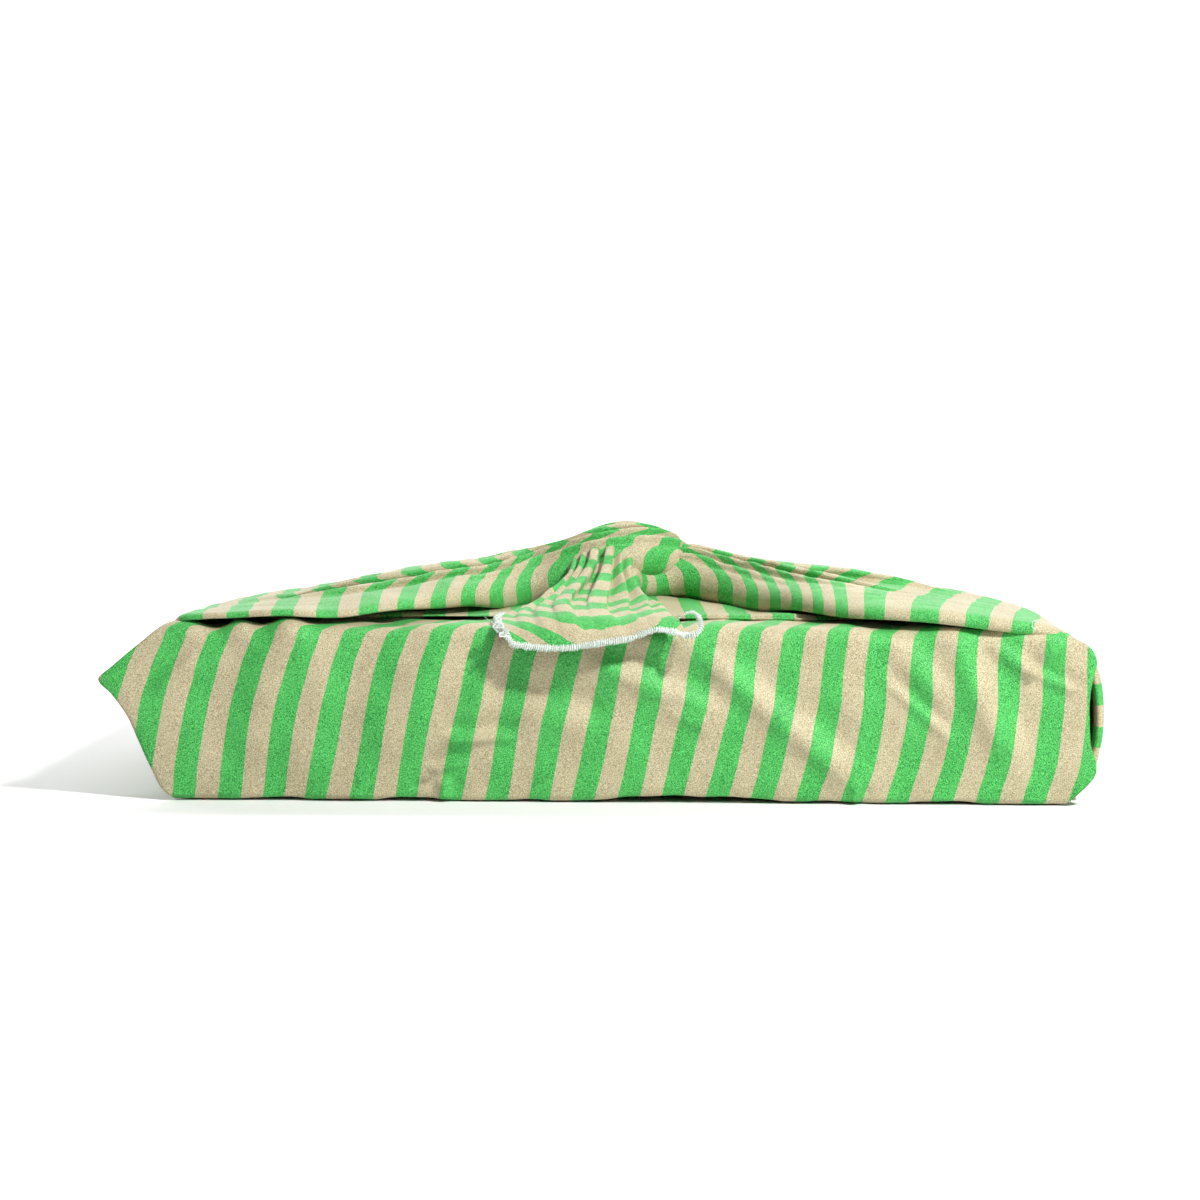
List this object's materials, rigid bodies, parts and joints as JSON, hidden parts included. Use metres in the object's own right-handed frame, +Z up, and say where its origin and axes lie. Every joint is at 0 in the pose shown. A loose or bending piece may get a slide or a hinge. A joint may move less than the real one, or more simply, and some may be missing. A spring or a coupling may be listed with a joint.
{
  "type": "furoshiki wrapped parcel",
  "caption": "Flat rectangular parcel wrapped in one striped square cloth, its two corners gathered over the top and tied in a knot with loose tails.",
  "frame": {"origin": "middle of the flat base on which the parcel rests", "axes": "+X along the parcel to the right as seen from the front, +Y to the back, +Z up through the knot"},
  "size_m": [0.464, 0.2375, 0.1208],
  "materials": {
    "striped_cotton": "fine sateen weave in even green and tan stripes, with a white overlocked edge"
  },
  "bodies": {
    "root": {"wrap_cloth": "striped_cotton"}
  },
  "joints": []
}
